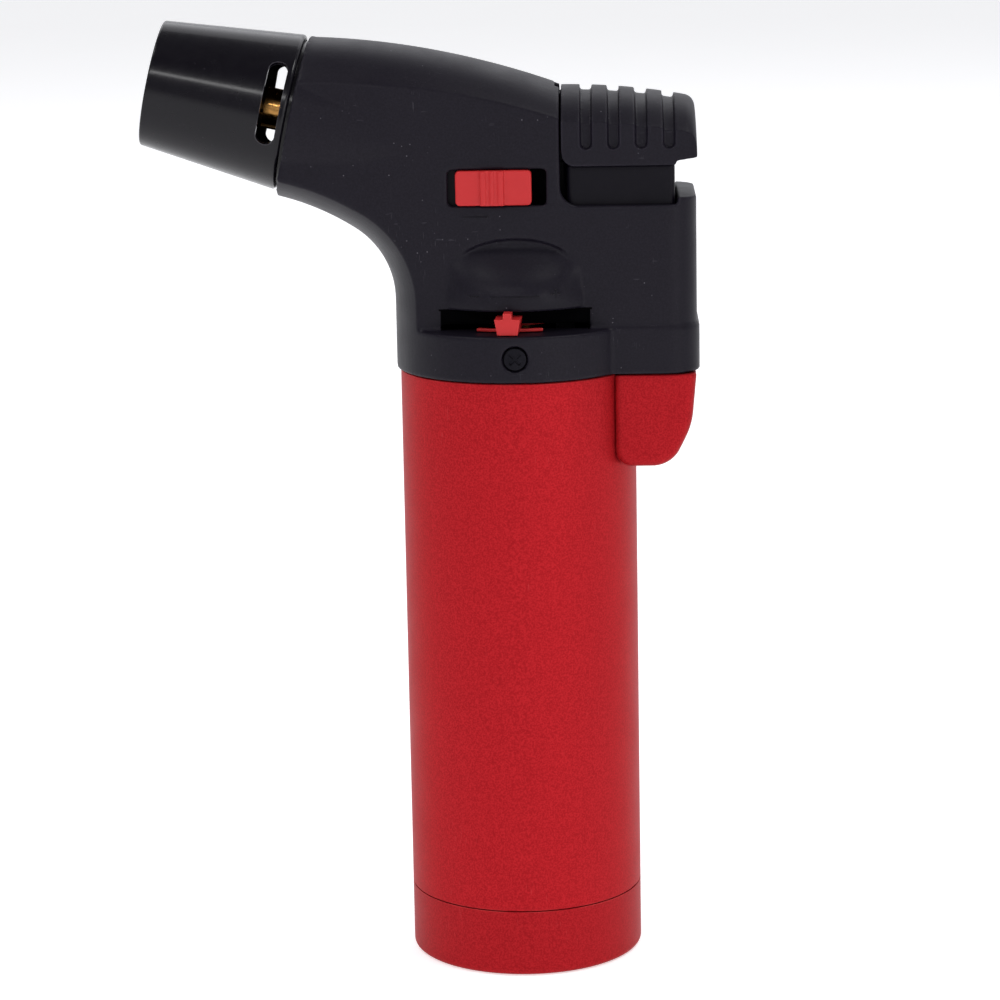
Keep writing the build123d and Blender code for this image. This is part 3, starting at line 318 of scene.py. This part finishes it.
def black_metal():
    """Black coated steel: glossy, with tiny pimples in the coat and lighter edges, partly bare metal and
    partly painted edge highlights.
    """
    s = Shader("black_metal", Specular_IOR_Level=0.10, Coat_Weight=0.26, Coat_Roughness=0.13)
    colour = s.mix(s.noise(6.0), (0.0034, 0.0028, 0.0048), (0.0050, 0.0043, 0.0068))
    # Lighter edges: painted edge highlights, with some bare metal
    colour = s.mix(s.highlit_and_worn_edges(0.3, 2.5), colour, (0.050, 0.047, 0.056))
    s.link(s.mix(s.specks(0.9, 0.10), colour, (0.030, 0.028, 0.033)), "Base Color")
    s.roughness(1.5, 0.20, 0.28)
    s.bump(s.noise(0.8, 3.0), 0.003)
    s.bump(s.level(s.cells(0.45), 0.35, 0.0), 0.008)
    return s.material


def metal(name, dark, light, rough, grain=0.3):
    """Bare metal that shifts between two colours, with fine turning or drawing lines."""
    s = Shader(name, Metallic=1.0)
    s.link(s.mix(s.noise(2.0), dark, light), "Base Color")
    s.roughness(0.8, rough, rough + 0.14)
    s.bump(s.noise(grain, 2.0, stretch=(6, 1, 1)), 0.003)
    return s.material


def simple(name, dark, light, rough):
    """Moulded or fired stuff inside the torch, that shifts between two colours."""
    s = Shader(name)
    s.link(s.mix(s.noise(2.0), dark, light), "Base Color")
    s.roughness(1.0, rough, rough + 0.12)
    s.bump(s.noise(0.3, 3.0), 0.005)
    return s.material


MATERIALS = {
    "charcoal_plastic": charcoal_plastic(),
    "painted_shade_black": painted_shade_black(),
    "black_plastic": black_plastic(),
    "red_sleeve": red_paint("red_sleeve_paint", 0.45, 0.90),
    "red_moulding": red_paint("red_moulding_paint", 0.40, 0.81),
    "red_button": red_plastic(),
    "black_metal": black_metal(),
    "black_screw": metal("black_screw", (0.006, 0.006, 0.008), (0.016, 0.015, 0.019), 0.3),
    "brass": metal("brass_turned", (0.34, 0.165, 0.045), (0.46, 0.25, 0.08), 0.14),
    "steel": metal("steel_turned", (0.45, 0.45, 0.45), (0.62, 0.62, 0.62), 0.25),
    "spring_steel": metal("spring_wire", (0.40, 0.40, 0.42), (0.55, 0.55, 0.57), 0.2, 0.1),
    "nylon": simple("nylon", (0.62, 0.60, 0.52), (0.72, 0.70, 0.62), 0.4),
    "seal_rubber": simple("seal_rubber", (0.010, 0.010, 0.010), (0.018, 0.018, 0.018), 0.6),
    "hose": simple("hose_silicone", (0.50, 0.46, 0.38), (0.60, 0.56, 0.46), 0.35),
    "wire_jacket": simple("wire_jacket", (0.060, 0.004, 0.004), (0.090, 0.006, 0.005), 0.5),
    "ceramic": simple("ceramic", (0.68, 0.65, 0.58), (0.78, 0.75, 0.68), 0.45),
}


# ---- Pieces ----
def new_object(name, data):
    """An object in the scene that shows a mesh, a light or a camera."""
    obj = bpy.data.objects.new(name, data)
    bpy.context.scene.collection.objects.link(obj)
    return obj


def slot_of(node):
    """The material slot that the record gives a CAD node."""
    for part in frame["record"]["subparts"]:
        if part["node"] == node:
            return part["material_slot"]
    raise KeyError(node)


def softened(node, voxel, passes):
    """A copy of a moulded CAD node with its edges rounded off as a mould leaves them.

    The voxel size, in millimetres, and the number of smoothing passes set how round they get.
    """
    source = NODES[node]
    mesh = source.data.copy()
    mesh.materials.clear()
    piece = new_object(node + "_moulded", mesh)
    remesh = piece.modifiers.new("remesh", "REMESH")
    remesh.mode = "VOXEL"
    remesh.voxel_size = voxel * MM
    remesh.use_smooth_shade = True
    smooth = piece.modifiers.new("smooth", "SMOOTH")
    smooth.factor = SMOOTHING
    smooth.iterations = passes
    graph = bpy.context.evaluated_depsgraph_get()
    final = bpy.data.meshes.new_from_object(piece.evaluated_get(graph))
    piece.modifiers.clear()
    piece.data = final
    piece.data.materials.clear()
    piece.data.materials.append(MATERIALS[slot_of(node)])
    piece.data.shade_smooth()
    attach(piece, source["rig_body"])
    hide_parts(node)
    return piece


def paint_window_shade(head):
    """Painted shade: near-black on the head's faces inside the adjuster's window."""
    head.data.materials.append(MATERIALS["painted_shade_black"])
    inside = len(head.data.materials) - 1
    for face in head.data.polygons:
        x, y, z = face.center / MM
        if abs(x) < WINDOW_HALF and WINDOW_FRONT < y < WINDOW_BACK and WINDOW_LOW < z < WINDOW_HIGH:
            face.material_index = inside


for name, node in NODES.items():
    node.data.materials.clear()
    node.data.materials.append(MATERIALS[slot_of(name)])

# The head, with painted shade on its faces inside the adjuster's window
paint_window_shade(softened("head_housing", voxel=0.3, passes=4))
softened("trigger_cap", voxel=0.2, passes=4)
softened("trigger_body", voxel=0.25, passes=3)
softened("lock_slide", voxel=0.1, passes=3)
softened("adjuster_ring", voxel=0.1, passes=3)
softened("rear_pod", voxel=0.25, passes=3)


def springy(node):
    """A copy of a coil spring's CAD node, with a mesh of its own, on the spring's body in place of the
    node.
    """
    source = NODES[node]
    piece = new_object(node + "_coil", source.data.copy())
    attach(piece, source["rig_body"])
    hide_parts(node)
    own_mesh(piece)


for joint in frame["joints"]:
    for spring in joint.get("deforming_nodes", []):
        springy(spring["node"])


# ---- Marks on the head: a dash under the lock, and minus, wedge and plus over the adjuster, darker than the head as painted shade ----
# Across a mark, as a share of its width, and out of the head, in millimetres
MARK_SECTION = (
    (-0.5, -MARK_DEPTH),
    (-0.5, 0.0),
    (-MARK_TOP, MARK_HEIGHT),
    (MARK_TOP, MARK_HEIGHT),
    (0.5, 0.0),
    (0.5, -MARK_DEPTH),
)


def way_out(point):
    """The direction out of the head's left side at point, which is flat but for the hood."""
    if abs(point.y) > FLAT_SIDE:
        return Vector((point.x, point.y, 0)).normalized()
    return Vector((0, -1, 0))


def ridge(name, points, widths):
    """A low raised line through points on the head's left side, with its own width at each."""
    mesh = bpy.data.meshes.new(name)
    shape = bmesh.new()
    rings = []
    for index, width in enumerate(widths):
        point = Vector(points[index])
        run = Vector(points[min(index + 1, len(points) - 1)]) - Vector(points[max(index - 1, 0)])
        outwards = way_out(point)
        across = run.cross(outwards).normalized()
        ring = [point + across * side * width + outwards * up for side, up in MARK_SECTION]
        rings.append([shape.verts.new(corner * MM) for corner in ring])
    count = len(MARK_SECTION)
    for first, second in zip(rings, rings[1:]):
        for i in range(count):
            j = (i + 1) % count
            shape.faces.new((first[i], first[j], second[j], second[i]))
    shape.faces.new(rings[0])
    shape.faces.new(list(reversed(rings[-1])))
    bmesh.ops.recalc_face_normals(shape, faces=shape.faces)
    shape.to_mesh(mesh)
    shape.free()
    piece = new_object(name, mesh)
    # The marks take the darker black plastic: painted shade along their moulded relief
    mesh.materials.append(MATERIALS["black_plastic"])
    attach(piece, "housing")


def on_hood(x, z):
    """The point of the hood's round lip at x and z, in millimetres."""
    return x, -sqrt(HOOD_RADIUS**2 - x**2), z


def hood_ridge(name, front, back, z, front_width, back_width):
    """A mark round the hood at the height z, between two places along the torch."""
    shares = [i / HOOD_STEPS for i in range(HOOD_STEPS + 1)]
    points = [on_hood(front + share * (back - front), z) for share in shares]
    ridge(name, points, [front_width + share * (back_width - front_width) for share in shares])


ridge("dash_mark", [(DASH_FRONT, -SIDE, DASH_Z), (DASH_BACK, -SIDE, DASH_Z)], [DASH_WIDTH] * 2)
hood_ridge("minus_mark", MINUS_FRONT, MINUS_BACK, HOOD_MARK_Z, MINUS_WIDTH, MINUS_WIDTH)
hood_ridge("wedge_mark", WEDGE_FRONT, WEDGE_BACK, HOOD_MARK_Z, WEDGE_THIN, WEDGE_THICK)
hood_ridge("plus_mark_level", PLUS_X - PLUS_ARM, PLUS_X + PLUS_ARM, PLUS_Z, PLUS_WIDTH, PLUS_WIDTH)
plus_ends = [on_hood(PLUS_X, PLUS_Z + reach) for reach in (-PLUS_ARM, PLUS_ARM)]
ridge("plus_mark_upright", plus_ends, [PLUS_WIDTH] * 2)


# ---- Stage ----
def floor_material():
    """Matt white paper, a little lit of its own so that it stays white round the torch."""
    s = Shader("floor", Emission_Color=(1, 1, 1, 1), Emission_Strength=0.52, Roughness=0.9)
    s.link(s.mix(s.noise(60.0, 3.0), (0.84, 0.84, 0.85), (0.88, 0.88, 0.89)), "Base Color")
    return s.material


def add_floor():
    """A flat sheet just under the torch's base."""
    mesh = bpy.data.meshes.new("floor")
    shape = bmesh.new()
    bmesh.ops.create_grid(shape, x_segments=1, y_segments=1, size=FLOOR_SIZE / 2)
    shape.to_mesh(mesh)
    shape.free()
    floor = new_object("floor", mesh)
    floor.matrix_world = Matrix.Translation((0, 0, -FLOOR_DROP))
    mesh.materials.append(floor_material())


def area_light(name, place, size, power, colour=(1, 1, 1)):
    """A soft box at place, of a width and height in metres, that faces the torch's middle."""
    data = bpy.data.lights.new(name, "AREA")
    data.shape = "RECTANGLE"
    data.size, data.size_y = size
    data.energy = power
    data.color = colour
    light = new_object(name, data)
    place = Vector(place)
    turn = (LIT_POINT - place).to_track_quat("-Z", "Y").to_matrix().to_4x4()
    light.matrix_world = Matrix.Translation(place) @ turn


add_floor()
area_light("key", place=(0.78, -0.92, 0.27), size=(0.5, 0.3), power=1.7, colour=(1.0, 0.98, 0.97))
area_light("strip", place=(-0.38, -1.1, 0.76), size=(0.9, 0.09), power=3.3)
area_light("fill", place=(0.42, -1.55, 0.35), size=(1.2, 0.5), power=1.7, colour=(0.96, 0.97, 1.0))
area_light("overhead_right", place=(0.46, -0.22, 1.05), size=(0.35, 0.35), power=3.4)
area_light("overhead_left", place=(-0.46, -0.22, 1.05), size=(0.3, 0.3), power=2.4)
area_light("back_top", place=(0.1, 1.1, 1.2), size=(1.6, 1.0), power=5.5, colour=(0.96, 0.96, 1.0))


def studio_world():
    """A white backdrop all round the horizon behind the torch, in a dimmer room."""
    world = bpy.data.worlds.new("studio")
    world.use_nodes = True
    tree = world.node_tree
    coordinates = tree.nodes.new("ShaderNodeTexCoord")
    split = tree.nodes.new("ShaderNodeSeparateXYZ")
    tree.links.new(coordinates.outputs["Generated"], split.inputs["Vector"])
    behind = map_range(tree, split.outputs["Y"], -0.4, 0.5, 0.35, 1.0)
    overhead = map_range(tree, split.outputs["Z"], 0.45, 0.85, 1.0, 0.3)
    for ramp in (behind, overhead):
        ramp.interpolation_type = "SMOOTHSTEP"
    background = tree.nodes["Background"]
    background.inputs["Color"].default_value = (0.95, 0.96, 1.0, 1)
    strength = product(tree, behind.outputs["Result"], overhead.outputs["Result"])
    tree.links.new(strength, background.inputs["Strength"])
    bpy.context.scene.world = world


studio_world()
bpy.context.scene.view_settings.view_transform = "Standard"


def add_camera():
    """A camera where the photograph was taken from."""
    data = bpy.data.cameras.new("camera")
    data.lens = CAMERA_LENS
    data.sensor_width = CAMERA_SENSOR
    data.clip_start = CAMERA_NEAR
    camera = new_object("camera", data)
    yaw = Matrix.Rotation(radians(CAMERA_YAW), 4, "Z")
    pitch = Matrix.Rotation(radians(90 + CAMERA_PITCH), 4, "X")
    roll = Matrix.Rotation(radians(CAMERA_ROLL), 4, "Z")
    camera.matrix_world = Matrix.Translation(CAMERA_PLACE) @ yaw @ pitch @ roll
    bpy.context.scene.camera = camera


add_camera()
